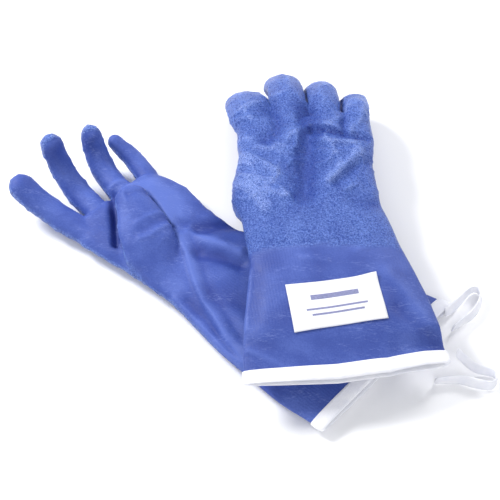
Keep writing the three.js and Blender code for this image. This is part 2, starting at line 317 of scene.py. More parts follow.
def finger_frame(part, t):
    splay = math.radians(mix(part["splay"][0], part["splay"][1], t))
    lift = math.radians(mix(part["lift"][0], part["lift"][1], t))
    along = np.array([
        math.sin(splay) * math.cos(lift),
        math.cos(splay) * math.cos(lift),
        math.sin(lift),
    ])
    across = np.array([math.cos(splay), -math.sin(splay), 0.0])
    return along, across, np.cross(across, along)


def centre_line(part, distances):
    """Points of the finger's middle line at the given distances past its knuckle."""
    steps = 60
    step = part["length"] / steps
    path = [part["hinge"].copy()]
    for i in range(steps):
        path.append(path[-1] + finger_frame(part, (i + 0.5) / steps)[0] * step)
    path = np.array(path)
    marks = np.linspace(0, part["length"], steps + 1)
    line = np.stack([np.interp(distances, marks, path[:, k]) for k in range(3)], axis=1)
    behind = np.minimum(distances, 0)[:, None] * finger_frame(part, 0)[0]
    return line + behind


def finger_size(part, distance):
    t = ease(max(0.0, distance / part["length"]))
    wide = mix(part["base"][0], part["tip"][0], t)
    thick = mix(part["base"][1], part["tip"][1], t)
    if distance < 0:
        wide *= mix(1.0, part["neck"], -distance / part["root"])
    return wide, thick


def finger_ring(part, distance, shrink=1.0):
    wide, thick = finger_size(part, distance)
    across, up = finger_frame(part, max(0.0, distance / part["length"]))[1:]
    centre = centre_line(part, np.array([distance]))[0]
    angle = np.linspace(0, 2 * math.pi, FINGER_AROUND, endpoint=False)[:, None]
    spread_out = across * (wide * shrink) * np.cos(angle)
    raised_up = up * (thick * shrink) * np.sin(angle)
    return centre + spread_out + raised_up


def finger_tube(part):
    round_part = part["tip"][1] * 1.1
    straight = part["length"] - round_part
    rings = [finger_ring(part, d) for d in np.linspace(-part["root"], 0, 5)[:-1]]
    rings += [finger_ring(part, d) for d in np.linspace(0, straight, 14)]
    for turn in FINGER_END:
        swing = math.radians(turn)
        rings.append(finger_ring(part, straight + round_part * math.sin(swing), math.cos(swing)))
    return lofted(rings)


def held_inside(glove, points):
    """The root of a wide thumb keeps within the side of the hand."""
    middle, half = section(glove, points[:, 1])[:2]
    root = points[:, 1] < glove["fingers"]["thumb"]["hinge"][1] + 12
    edge = middle - half + 3
    clipped = points.copy()
    clipped[root, 0] = np.maximum(points[root, 0], edge[root])
    return clipped


def opened(part, points):
    """A finger held off its neighbours, as it is while the skin is moulded."""
    each = np.ones(len(points))
    sideways = turned(points, part["hinge"], (0, 0, 1), each * math.radians(-part["spread"]))
    across = finger_frame(part, 0)[1]
    return turned(sideways, part["hinge"], across, each * math.radians(part["raised"]))


def closed_again(part, points, share):
    """Undoes opened(), each point by its own share."""
    across = finger_frame(part, 0)[1]
    lowered = turned(points, part["hinge"], across, share * math.radians(-part["raised"]))
    return turned(lowered, part["hinge"], (0, 0, 1), share * math.radians(part["spread"]))


def nearest_finger(glove, points):
    """For every point: which finger it lies on, how far past that finger's knuckle, and how far
    out from its middle line, where 1 is the finger's own surface."""
    best = np.full(len(points), FAR)
    owner = np.zeros(len(points), int)
    distance = np.zeros(len(points))
    for number, part in enumerate(glove["fingers"].values()):
        marks = np.linspace(-part["root"], part["length"], 50)
        line = centre_line(part, marks)
        frames = [finger_frame(part, max(0.0, mark / part["length"])) for mark in marks]
        sizes = np.array([finger_size(part, mark) for mark in marks])
        held = opened(part, line)
        aside = opened(part, line + np.array([f[1] for f in frames])) - held
        up = opened(part, line + np.array([f[2] for f in frames])) - held
        nearest = np.linalg.norm(points[:, None, :] - held[None, :, :], axis=2).argmin(axis=1)
        gap = points - held[nearest]
        wide = (gap * aside[nearest]).sum(axis=1)
        thick = (gap * up[nearest]).sum(axis=1)
        past = np.sqrt(np.maximum((gap ** 2).sum(axis=1) - wide ** 2 - thick ** 2, 0))
        measure = np.sqrt((wide / sizes[nearest, 0]) ** 2 + (thick / sizes[nearest, 1]) ** 2
                          + (past / sizes[nearest, 1]) ** 2)
        if part["raised"]:
            measure[measure > LOOSE] = FAR / 10
        closer = measure < best
        best[closer] = measure[closer]
        owner[closer] = number
        distance[closer] = marks[nearest[closer]]
    return owner, distance, best


# ---------- the moulded skin ----------

def moulded(glove):
    """Sleeve and fingers fused into one skin, open at the hem: points and faces."""
    end = glove["crotch"]
    rings = [hand_ring(glove, v) for v in np.arange(glove["hem"] - 14, end + 0.1, 4)]
    tall = section(glove, end)[3]
    for turn in HAND_END:
        swing = math.radians(turn)
        depth = (tall - 0.6) * (1 - math.cos(swing))
        rings.append(hand_ring(glove, end + 0.01, depth) + (0, 12 * math.sin(swing), 0))
    parts = [lofted(rings)]
    for name, part in glove["fingers"].items():
        points, faces = finger_tube(part)
        points = opened(part, points)
        if name == "thumb" and not glove["coat_up"]:
            points = held_inside(glove, points)
        parts.append((points, faces))
    points, faces = joined(parts)
    obj = make_object("moulding", points, faces)
    remesh = obj.modifiers.new("remesh", "REMESH")
    remesh.mode = "VOXEL"
    remesh.voxel_size = VOXEL
    smooth = obj.modifiers.new("smooth", "SMOOTH")
    smooth.factor = 0.5
    smooth.iterations = 7
    ready = obj.evaluated_get(bpy.context.evaluated_depsgraph_get())
    mesh = bpy.data.meshes.new_from_object(ready)
    bpy.data.objects.remove(obj)
    cut = bmesh.new()
    cut.from_mesh(mesh)
    middle = section(glove, glove["hem"])[0]
    slant = section(glove, glove["hem"])[4]
    geometry = cut.verts[:] + cut.edges[:] + cut.faces[:]
    bmesh.ops.bisect_plane(
        cut, geom=geometry, plane_co=(middle, glove["hem"], 0), plane_no=(-slant, 1, 0),
        clear_inner=True,
    )
    cut.to_mesh(mesh)
    cut.free()
    return mesh


def levelled(mesh, line, reach, times):
    """Smooths the skin in a strip along a line, so that a step there fades away."""
    points = read_points(mesh)
    share = ease(1.6 - from_line(points, line)[0] / reach)[:, None]
    edges = np.array([tuple(edge.vertices) for edge in mesh.edges])
    count = np.bincount(edges.ravel(), minlength=len(points))[:, None]
    for _ in range(times):
        total = np.zeros_like(points)
        for axis in range(3):
            total[:, axis] = np.bincount(edges[:, 0], points[edges[:, 1], axis], len(points))
            total[:, axis] += np.bincount(edges[:, 1], points[edges[:, 0], axis], len(points))
        points = mix(points, total / count, share * 0.6)
    write_points(mesh, points)


def read_points(mesh):
    values = np.empty(len(mesh.vertices) * 3)
    mesh.vertices.foreach_get("co", values)
    return values.reshape(-1, 3)


def read_normals(mesh):
    values = np.empty(len(mesh.vertices) * 3)
    mesh.vertex_normals.foreach_get("vector", values)
    return values.reshape(-1, 3)


def write_points(mesh, points):
    mesh.vertices.foreach_set("co", points.ravel())
    mesh.update()


def from_line(points, line):
    """Distance across the glove from each point to a line of folds, and which side it is on."""
    flat = points[:, :2]
    best = np.full(len(flat), FAR)
    side = np.ones(len(flat))
    for a, b in zip(line[:-1], line[1:]):
        a = np.array(a, float)
        run = np.array(b, float) - a
        t = np.clip((flat - a) @ run / (run @ run), 0, 1)
        gap = flat - a - t[:, None] * run
        reach = np.linalg.norm(gap, axis=1)
        closer = reach < best
        best[closer] = reach[closer]
        turn = run[0] * gap[:, 1] - run[1] * gap[:, 0]
        side[closer] = np.sign(turn[closer])
    return best, side


def fold(points, line, height, left, right):
    """A ridge along a line, or a hollow where height is negative, with its own slope each side."""
    reach, side = from_line(points, line)
    width = np.where(side > 0, left, right)
    return height * np.exp(-(reach / width) ** 2)


# Folds: the line's points (u, v), then height and the width of its left and right slopes.
RIGHT_FOLDS = [
    ([(11, 292), (10, 268), (4, 245), (-3, 217), (-8, 194)], -8.1, 10, 12),
    ([(-27, 305), (-20, 287), (-20, 274), (-33, 261)], -4.6, 7, 8),
    ([(46, 284), (43, 270), (42, 260)], -4.7, 4, 4),
    ([(12, 270), (26, 263), (47, 252), (60, 250)], -4.3, 5, 4),
    ([(12, 277), (26, 270), (46, 259)], 3.0, 4, 3),
    ([(12, 254), (27, 247), (41, 246), (58, 247)], 2.4, 4, 3.5),
    ([(17, 203), (35, 219), (53, 234)], 3.5, 5, 4),
    ([(25, 201), (45, 217), (60, 226)], -2.4, 7, 7),
    ([(-4, 262), (-6, 250), (-11, 243)], 2.3, 3, 3),
    ([(12, 280), (0, 269), (-12, 261)], 1.9, 3.5, 3),
    ([(-60, 248), (-40, 227), (-31, 217)], 2.6, 6, 5),
    ([(-60, 214), (-53, 195), (-48, 183)], 3.0, 9, 8),
    ([(-42, 199), (-26, 191)], 2.6, 6, 5),
    ([(38, 180), (56, 176)], -3.0, 9, 9),
    ([(-69, 157), (-58, 160), (-48, 160)], 1.4, 2.5, 2.5),
    ([(-70, 118), (-73, 100), (-79, 80), (-82, 60)], 1.6, 3, 2.6),
    ([(-62, 112), (-67, 90), (-71, 66)], -1.0, 5, 8),
    ([(-84, 37), (-72, 30), (-58, 20), (-47, 14)], 1.8, 3, 3),
    ([(-80, 46), (-60, 34), (-40, 26)], -1.2, 5, 5),
    ([(26, 121), (44, 126)], 0.9, 3, 3),
    ([(-22, 121), (-2, 114)], 0.9, 3, 3),
    ([(50, 96), (66, 70), (78, 40)], 1.6, 7, 7),
    ([(52, 60), (66, 40), (80, 22)], -1.6, 6, 6),
]

# Fine wrinkles in the coat, all of one height and width.
RIGHT_WRINKLES = [
    [(-58, 301), (-46, 308), (-34, 311)],
    [(-66, 290), (-55, 293), (-41, 290)],
    [(-59, 257), (-47, 251), (-34, 248)],
    [(-54, 246), (-42, 235), (-30, 219)],
    [(-27, 252), (-13, 245), (0, 248)],
    [(4, 238), (13, 241), (28, 235), (49, 236)],
    [(8, 224), (18, 224), (25, 231)],
    [(-63, 224), (-52, 216), (-36, 212)],
    [(-69, 198), (-59, 194), (-51, 198)],
    [(-29, 269), (-22, 272), (-13, 275)],
    [(-20, 224), (-14, 231), (-2, 234)],
    [(18, 193), (29, 191), (42, 197)],
    [(49, 297), (60, 290), (67, 282)],
    [(-37, 209), (-28, 199), (-21, 187)],
]
WRINKLE = (1.5, 1.9)          # height, width

# The first of these is the long fold down the palm, the eighth the slot beside the thumb.
LEFT_FOLDS = [
    ([(6, 292), (16, 280), (10, 262), (-1, 241), (-8, 227), (-18, 210), (-31, 194), (-40, 182),
      (-50, 166), (-56, 150), (-66, 131), (-73, 107), (-78, 88)], 4.2, 13, 3.0),
    ([(6, 232), (-3, 214), (-16, 198), (-28, 184), (-40, 166), (-50, 142), (-60, 118)],
     -3.2, 6, 10),
    ([(3, 224), (4, 209), (8, 193), (14, 172)], 3.4, 6, 6),
    ([(12, 218), (26, 208), (38, 198)], -4.6, 8, 8),
    ([(-10, 200), (-3, 184), (2, 164)], -3.6, 7, 7),
    ([(-62, 192), (-67, 168), (-72, 146), (-78, 118), (-80, 90)], 2.2, 3.5, 3.5),
    ([(-57, 180), (-62, 156), (-69, 130), (-73, 106)], -1.6, 4, 4),
    ([(-6, 308), (-23, 291), (-46, 271)], -8.0, 5, 4),
    ([(-11, 334), (-9, 326), (-3, 320), (10, 315), (20, 309), (30, 299)], 1.6, 3, 3),
    ([(28, 286), (26, 262), (20, 240)], 2.2, 12, 12),
    ([(-46, 312), (-36, 292)], -1.2, 10, 10),
    ([(-36, 160), (-30, 130), (-26, 104)], -1.8, 11, 11),
    ([(20, 136), (34, 108), (48, 80)], 1.8, 12, 12),
]

# Folds across the left thumb itself, and the rim of its tip.
THUMB_FOLDS = [
    ([(-38, 249), (-30, 243), (-19, 241), (-8, 238)], 1.0, 2.4, 2.4),
    ([(-36, 255), (-26, 250), (-12, 247), (-2, 244)], -1.2, 4, 4),
    ([(-28, 261), (-16, 257), (-2, 251)], 0.9, 2.4, 2.4),
    ([(-8, 287), (1, 281), (9, 272)], -1.2, 3, 3),
    ([(-15, 283), (-9, 292), (1, 297), (10, 291), (13, 280)], 1.0, 2.2, 2.2),
]


def folded(glove, points, normals, on_finger, coat, thumb):
    """Folds pressed into the side that faces up, and a light crumple all over.

    Returns the points and a shading value: above 0 on fold ridges, painted as highlight, and below
    0 in hollows, painted as shade, with some random tone.
    """
    upper = ease((normals[:, 2] + 0.05) / 0.5)
    lines = LEFT_FOLDS if glove["side"] == "left" else RIGHT_FOLDS
    calm = 1.0 if glove["side"] == "left" else 0.6
    height = np.zeros(len(points))
    for line, tall, left, right in lines:
        height += fold(points, line, tall, left, right) * (1 - calm * on_finger)
    if glove["side"] == "left":
        for line, tall, left, right in THUMB_FOLDS:
            height += fold(points, line, tall, left, right) * thumb
    else:
        for line in RIGHT_WRINKLES:
            height += fold(points, line, WRINKLE[0], WRINKLE[1], WRINKLE[1])
    from_hem = ease((points[:, 1] - glove["hem"] - BINDING_WIDTH - 2) / 22)
    result = points.copy()
    result[:, 2] += height * upper * from_hem
    creases = creased_noise(points * (1, 0.7, 1), 26) + 0.6 * creased_noise(points, 12, 7.3)
    creases = creases * mix(0.15, 1.0, ease((points[:, 1] - CREASES_FROM) / 50))
    crumple = 1.2 * creases * mix(0.25, 1.0, coat) + 0.8 * noise_at(points, 40, 3.1)
    # painted light: fold heights and crease ridges make painted highlight on ridges and painted
    # shade in hollows; the noise adds random tone
    painted_relief_light_and_tone = height * upper / 3 + mix(0.1, 0.8, coat) * (creases - 0.25)
    painted_relief_light_and_tone += mix(0.45, 0.3, coat) * noise_at(points, 20, 5.9)
    return result + normals * (crumple * from_hem)[:, None], painted_relief_light_and_tone


def coat_share(glove, points, normals, owner, distance):
    """1 where the rough over-dip covers the back of the hand, 0 on the smooth side."""
    back = np.tile([0.0, 0.0, 1.0], (len(points), 1))
    for number, part in enumerate(glove["fingers"].values()):
        mine = np.flatnonzero((owner == number) & (distance > 0))
        turns = distance[mine] / part["length"]
        for k, t in zip(mine, turns):
            back[k] = finger_frame(part, t)[2]
    facing = (normals * back).sum(axis=1)
    if not glove["coat_up"]:
        facing = -facing
    line = np.array(glove["coat_line"], float)
    edge = np.interp(points[:, 0], line[:, 0], line[:, 1]) + 2.5 * noise_at(points, 14, 1.7)
    return ease((facing + 0.4) / 0.25) * ease((points[:, 1] - edge + 4) / 8)


def cut_piece(name, mesh, keep_faces, normals, shares, material):
    """The chosen faces of the skin as a piece of its own, with the whole skin's shading."""
    faces = [tuple(mesh.polygons[i].vertices) for i in keep_faces]
    used = sorted({i for face in faces for i in face})
    number = {old: new for new, old in enumerate(used)}
    points = read_points(mesh)[used]
    obj = make_object(name, points, [tuple(number[i] for i in face) for face in faces], material)
    obj.data.normals_split_custom_set_from_vertices(normals[used].tolist())
    for share, values in shares.items():
        attribute = obj.data.attributes.new(share, "FLOAT", "POINT")
        attribute.data.foreach_set("value", values[used].astype(np.float32))
    return obj


def seam_distances(glove, mesh, owner, distance):
    """How far past its knuckle each finger's own piece starts: clear of the other fingers."""
    edges = np.array([tuple(edge.vertices) for edge in mesh.edges])
    mixed = edges[owner[edges[:, 0]] != owner[edges[:, 1]]].ravel()
    seams = []
    for number, part in enumerate(glove["fingers"].values()):
        shared = mixed[owner[mixed] == number]
        seam = max(distance[shared].max() if len(shared) else 0.0, 2.0) + 2.0
        seams.append(min(seam, part["length"] * 0.5))
    return np.array(seams)


def build_skin(glove, material):
    """Moulds, folds and cuts one glove's skin; returns the ready whole mesh for fitting to."""
    mesh = moulded(glove)
    points = read_points(mesh)
    owner, distance, reach = nearest_finger(glove, points)
    names = list(glove["fingers"])
    if "root_edge" in glove:
        levelled(mesh, glove["root_edge"], 9, 60)
        points = read_points(mesh)
    for number, part in enumerate(glove["fingers"].values()):
        if part["spread"] or part["raised"]:
            mine = owner == number
            share = ease((distance[mine] + 10) / 22)
            if part["raised"]:
                share = share * ease((LOOSE - reach[mine]) / 0.35)
            points[mine] = closed_again(part, points[mine], share)
    write_points(mesh, points)
    normals = read_normals(mesh)
    coat = coat_share(glove, points, normals, owner, distance)
    on_finger = ease((distance + 4) / 16)
    thumb = ease((owner == names.index("thumb")) * (distance + 12) / 12)
    points, painted_relief_light_and_tone = folded(glove, points, normals, on_finger, coat, thumb)
    points = rested(mouth_shaped(glove, points))
    write_points(mesh, place(glove, points))
    normals = read_normals(mesh)

    side = glove["side"]
    seams = seam_distances(glove, mesh, owner, distance)
    beyond = distance > seams[owner]
    groups = {name: [] for name in ["hand"] + names}
    for polygon in mesh.polygons:
        corners = np.array(polygon.vertices)
        first = owner[corners[0]]
        whole = beyond[corners].all() and (owner[corners] == first).all()
        groups[names[first] if whole else "hand"].append(polygon.index)
    # the second share is painted fold highlight and shade, with random tone, for the colour
    shares = {"coat": coat, "painted_relief_light_and_tone": np.clip(painted_relief_light_and_tone, -1.5, 1.5)}
    hand = cut_piece(f"{side}_hand_skin", mesh, groups["hand"], normals, shares, material)
    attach(hand, f"{side}_hand")
    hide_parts(f"{side}_shell", f"{side}_grip_coat")
    for number, (name, part) in enumerate(glove["fingers"].items()):
        node = name if name == "thumb" else f"{name}_finger"
        skin = cut_piece(f"{side}_{node}_skin", mesh, groups[name], normals, shares, material)
        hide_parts(f"{side}_{node}_shell", f"{side}_{node}_liner")
        ends = centre_line(part, np.array([seams[number] + 2, seams[number] + 22]))
        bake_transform(skin)
    return mesh


# ---------- hem, lining and label ----------

def sleeve_ring(glove, v, depth, count=AROUND):
    """A ring that follows the finished skin near the hem."""
    return place(glove, mouth_shaped(glove, hand_ring(glove, v, depth, count)))


def build_binding(glove, material):
    """Tape folded over the hem: outside face, rounded fold, inside face."""
    inside = HEM_WALL + BINDING_THICK
    profile = [
        (BINDING_WIDTH, 0.2), (BINDING_WIDTH - 0.2, -0.9), (BINDING_WIDTH - 1.2, -BINDING_THICK),
        (7, -BINDING_THICK - 0.25), (1.5, -BINDING_THICK - 0.1), (-0.4, -0.8), (-1.3, 0.4),
        (-1.5, 1.2), (-1.3, HEM_WALL - 0.2), (-0.4, inside - 0.5), (1.5, inside),
        (7, inside + 0.2),
        (BINDING_WIDTH - 1, inside), (BINDING_WIDTH, inside - 1),
    ]
    count = 2 * AROUND
    rings = []
    for offset, depth in profile:
        rings.append(sleeve_ring(glove, glove["hem"] + offset, depth, count))
    rings.append(rings[0].copy())
    points, faces = lofted(rings, caps=False)
    obj = make_object(f"{glove['side']}_binding", points, faces, material)
    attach(obj, f"{glove['side']}_hand")
    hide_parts(f"{glove['side']}_hem_binding")


def evenly_along(ring, spacing):
    """Points spaced evenly round a closed ring."""
    closed = np.vstack([ring, ring[:1]])
    steps = np.linalg.norm(np.diff(closed, axis=0), axis=1)
    marks = np.concatenate([[0], np.cumsum(steps)])
    count = int(marks[-1] / spacing)
    at = np.linspace(0, marks[-1], count, endpoint=False)
    return np.stack([np.interp(at, marks, closed[:, k]) for k in range(3)], axis=1)


def stitch_row(points, length, thick):
    """A closed row of short rounded threads, one at each point along the row."""
    parts = []
    for here, following in zip(points, np.roll(points, -1, axis=0)):
        run = unit(following - here)
        aside = unit(np.cross(run, (0.0, 0.0, 1.0)) + 1e-9)
        over = np.cross(aside, run)
        rings = []
        for share, size in ((0, 0.35), (0.25, 1.0), (0.75, 1.0), (1, 0.35)):
            angle = np.linspace(0, 2 * math.pi, 6, endpoint=False)[:, None]
            middle = here + run * length * share
            rings.append(middle + thick * size * (aside * np.cos(angle) + over * np.sin(angle)))
        parts.append(lofted(rings))
    return joined(parts)


def build_stitching(glove, material):
    ring = sleeve_ring(glove, glove["hem"] + BINDING_WIDTH - 2.2, -BINDING_THICK - 0.25, 400)
    points, faces = stitch_row(evenly_along(ring, 3.4 * MM), 2.3 * MM, 0.32 * MM)
    obj = make_object(f"{glove['side']}_stitching", points, faces, material)
    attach(obj, f"{glove['side']}_hand")
    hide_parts(f"{glove['side']}_hem_stitching")


def build_lining(glove, material):
    """The knit lining seen in the mouth, closed deep inside the sleeve."""
    places = np.arange(glove["hem"] + 1, glove["hem"] + LINING_DEPTH, 6)
    rings = []
    for v in places:
        depth = mix(HEM_WALL, WALL, ease((v - glove["hem"] - BINDING_WIDTH) / 20))
        rings.append(sleeve_ring(glove, v, depth))
    middle = rings[-1].mean(axis=0)
    rings.append(middle + (rings[-1] - middle) * 0.02)
    points, faces = lofted(rings, caps=False)
    obj = make_object(f"{glove['side']}_lining", points, [face[::-1] for face in faces], material)
    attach(obj, f"{glove['side']}_hand")
    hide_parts(f"{glove['side']}_liner", f"{glove['side']}_insulation")


def build_label(skin_mesh, material, thread):
    """A plain woven label lying on the gauntlet, one corner lifting."""
    corners = [(-42, 94), (39.5, 94.5), (42.5, 50.5), (-41, 48)]
    sag = 1.6                     # of its upper edge
    lifted = 3.0                  # the corner's height
    columns = 48
    rows = 30
    tree = BVHTree.FromPolygons(
        [tuple(p) for p in read_points(skin_mesh)],
        [tuple(polygon.vertices) for polygon in skin_mesh.polygons],
    )
    sheets = []
    marks = []
    for layer in (-0.45, 0.2):
        sheet = []
        for j in range(rows + 1):
            for i in range(columns + 1):
                s = i / columns
                t = j / rows
                top = mix(np.array(corners[0]), np.array(corners[1]), s)
                low = mix(np.array(corners[3]), np.array(corners[2]), s)
                spot = mix(low, top, t)
                spot[1] -= sag * math.sin(math.pi * s) * t
                corner = ease((s + t - 1.72) / 0.28)
                flat = place(RIGHT, [(spot[0], spot[1], 90)])[0]
                hit = tree.ray_cast(Vector(flat), Vector((0, 0, -1)))[0]
                ripple = 0.25 * math.sin(9 * s + 3 * t)
                height = hit.z + (layer + 0.35 + ripple + lifted * corner) * MM
                sheet.append((flat[0], flat[1], height))
                marks.append((s, t, 0.0))
        sheets.append(np.array(sheet))
    # neighbouring points are levelled so that the cloth bridges small dents
    for sheet in sheets:
        grid = sheet[:, 2].reshape(rows + 1, columns + 1)
        for _ in range(4):
            padded = np.pad(grid, 1, mode="edge")
            grid = (padded[:-2, 1:-1] + padded[2:, 1:-1] + padded[1:-1, :-2] + padded[1:-1, 2:]) / 4
        sheet[:, 2] = grid.ravel() + 0.4 * MM
    across = columns + 1
    total = across * (rows + 1)
    faces = []
    for j in range(rows):
        for i in range(columns):
            a = j * across + i
            quad = (a, a + 1, a + 1 + across, a + across)
            faces.append(tuple(k + total for k in quad))
            faces.append(quad[::-1])
    rim = list(range(across))
    rim += [j * across + columns for j in range(1, rows + 1)]
    rim += [rows * across + i for i in range(columns - 1, -1, -1)]
    rim += [j * across for j in range(rows - 1, 0, -1)]
    for a, b in zip(rim, rim[1:] + rim[:1]):
        faces.append((a, b, b + total, a + total))
    points = np.concatenate(sheets)
    obj = make_object("right_label_cloth", points, faces, material)
    attribute = obj.data.attributes.new("spot", "FLOAT_VECTOR", "POINT")
    attribute.data.foreach_set("vector", np.array(marks).ravel().astype(np.float32))
    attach(obj, "right_hand")
    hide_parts("right_label")
    top = sheets[1].reshape(rows + 1, across, 3)
    edge = np.concatenate([
        top[1, 1:-1], top[1:-1, -2], top[-2, 1:-1][::-1], top[1:-1, 1][::-1],
    ])
    edge = edge + np.array([0, 0, 0.1 * MM])
    row_points, row_faces = stitch_row(evenly_along(edge, 2.6 * MM), 1.8 * MM, 0.22 * MM)
    stitches = make_object("right_label_stitching", row_points, row_faces, thread)
    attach(stitches, "right_hand")


# ---------- hanging loops ----------

def smooth_route(points, steps):
    """A smooth line through the points, evenly divided."""
    table = np.array(points, float)
    padded = np.vstack([2 * table[0] - table[1], table, 2 * table[-1] - table[-2]])
    dense = []
    for k in range(1, len(padded) - 2):
        a, b, c, d = padded[k - 1:k + 3]
        for t in np.linspace(0, 1, 12, endpoint=False):
            dense.append(0.5 * (2 * b + (c - a) * t + (2 * a - 5 * b + 4 * c - d) * t ** 2
                                + (3 * b - a - 3 * c + d) * t ** 3))
    dense.append(padded[-2])
    dense = np.array(dense)
    marks = np.concatenate([[0], np.cumsum(np.linalg.norm(np.diff(dense, axis=0), axis=1))])
    at = np.linspace(0, marks[-1], steps + 1)
    return np.stack([np.interp(at, marks, dense[:, k]) for k in range(3)], axis=1)


def build_loop(side, material):
    """A flat tape standing on its edge, folded lengthwise and rolling a little."""
    steps = 30
    shift = np.array([ORIGIN[0], ORIGIN[1], 0.0])
    path = (smooth_route(LOOPS[side], steps) + shift) * MM
    half = TAPE_WIDTH / 2 * MM
    thick = TAPE_THICK / 2 * MM
    rings = []
    for k, point in enumerate(path):
        run = path[min(k + 1, steps)] - path[max(k - 1, 0)]
        flat = unit(np.array([-run[1], run[0], 0.0]))
        roll = 0.35 * math.sin(1.9 * math.pi * k / steps + 0.6)
        upright = np.array([0, 0, 1.0]) * math.cos(roll) + flat * math.sin(roll)
        face = flat * math.cos(roll) - np.array([0, 0, 1.0]) * math.sin(roll)
        ring = []
        for wide, deep in ((-1, 0), (-0.9, 1), (-0.5, 0.8), (0, 0.6), (0.5, 0.8), (0.9, 1),
                           (1, 0), (0.9, -1), (0.5, -1.2), (0, -1.4), (-0.5, -1.2), (-0.9, -1)):
            ring.append(point + upright * half * wide * 0.97 + face * thick * deep)
        rings.append(np.array(ring))
    points, faces = lofted(rings)
    obj = make_object(f"{side}_loop_tape", points, faces, material)
    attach(obj, f"{side}_hand")
    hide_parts(f"{side}_hanging_loop")


# ---------- materials ----------

class Nodes:
    """Short names for building a material's nodes."""

    def __init__(self, name):
        self.material = bpy.data.materials.new(name)
        self.material.use_nodes = True
        self.tree = self.material.node_tree
        self.shader = self.tree.nodes["Principled BSDF"]
        self.coordinates = self.tree.nodes.new("ShaderNodeTexCoord").outputs["Object"]

    def link(self, a, b):
        self.tree.links.new(a, b)

    def noise(self, scale, detail=2.0, roughness=0.5, stretch=None):
        node = self.tree.nodes.new("ShaderNodeTexNoise")
        node.inputs["Scale"].default_value = scale
        node.inputs["Detail"].default_value = detail
        node.inputs["Roughness"].default_value = roughness
        self.link(self.placed(stretch), node.inputs["Vector"])
        return node.outputs["Fac"]

    def placed(self, stretch):
        if not stretch:
            return self.coordinates
        scale, turn = stretch
        node = self.tree.nodes.new("ShaderNodeMapping")
        node.inputs["Scale"].default_value = scale
        node.inputs["Rotation"].default_value = (0, 0, math.radians(turn))
        self.link(self.coordinates, node.inputs["Vector"])
        return node.outputs["Vector"]

    def cells(self, scale):
        node = self.tree.nodes.new("ShaderNodeTexVoronoi")
        node.inputs["Scale"].default_value = scale
        self.link(self.coordinates, node.inputs["Vector"])
        return node.outputs["Distance"]

    def wave(self, scale, turn, distortion=0.0):
        node = self.tree.nodes.new("ShaderNodeTexWave")
        node.inputs["Scale"].default_value = scale
        node.inputs["Distortion"].default_value = distortion
        self.link(self.placed(((1, 1, 1), turn)), node.inputs["Vector"])
        return node.outputs["Fac"]

    def math(self, kind, a, b=None):
        node = self.tree.nodes.new("ShaderNodeMath")
        node.operation = kind
        for socket, value in zip(node.inputs, (a, b)):
            if value is None:
                continue
            if isinstance(value, (int, float)):
                socket.default_value = value
            else:
                self.link(value, socket)
        return node.outputs["Value"]

    def add(self, a, b):
        return self.math("ADD", a, b)

    def times(self, a, b):
        return self.math("MULTIPLY", a, b)

    def above(self, source, level, gain):
        """How far source stands over level, times gain; 0 below it."""
        return self.times(self.math("MAXIMUM", self.math("SUBTRACT", source, level), 0.0), gain)

    def between(self, share, a, b):
        return self.add(self.times(a, self.math("SUBTRACT", 1.0, share)), self.times(b, share))

    def ramp(self, source, stops):
        node = self.tree.nodes.new("ShaderNodeValToRGB")
        elements = node.color_ramp.elements
        while len(elements) < len(stops):
            elements.new(0.5)
        for element, (position, colour) in zip(elements, stops):
            element.position = position
            element.color = (*colour, 1)
        self.link(source, node.inputs["Fac"])
        return node.outputs["Color"]

    def blend(self, share, a, b):
        node = self.tree.nodes.new("ShaderNodeMix")
        node.data_type = "RGBA"
        self.link(share, node.inputs["Factor"])
        self.link(a, node.inputs[6])
        self.link(b, node.inputs[7])
        return node.outputs[2]

    def attribute(self, name, output="Fac"):
        node = self.tree.nodes.new("ShaderNodeAttribute")
        node.attribute_name = name
        return node.outputs[output]

    def bump(self, height, distance, strength=1.0):
        node = self.tree.nodes.new("ShaderNodeBump")
        node.inputs["Distance"].default_value = distance * MM
        node.inputs["Strength"].default_value = strength
        self.link(height, node.inputs["Height"])
        return node.outputs["Normal"]

    def finish(self, colour=None, roughness=None, normal=None, **fixed):
        for name, source in (("Base Color", colour), ("Roughness", roughness), ("Normal", normal)):
            if source is not None:
                self.link(source, self.shader.inputs[name])
        for name, value in fixed.items():
            self.shader.inputs[name.replace("_", " ")].default_value = value
        return self.material


# Colours are linear; each stands at its place on a ramp.
SMOOTH_BLUES = [(0.30, (0.019, 0.041, 0.235)), (0.61, (0.036, 0.071, 0.315)),
                (0.92, (0.078, 0.130, 0.440))]
COAT_BLUES = [(0.40, (0.018, 0.044, 0.275)), (0.52, (0.050, 0.109, 0.420)),
              (0.64, (0.16, 0.260, 0.67))]
# painted highlight: pale streaks on the smooth side
STREAK_GLINTS = [(0.3, (0.20, 0.26, 0.58)), (0.7, (0.34, 0.42, 0.78))]
# painted highlight: pale glints on the coat's ridges
GLINTS = [(0.3, (0.30, 0.40, 0.80)), (0.7, (0.55, 0.64, 0.95))]


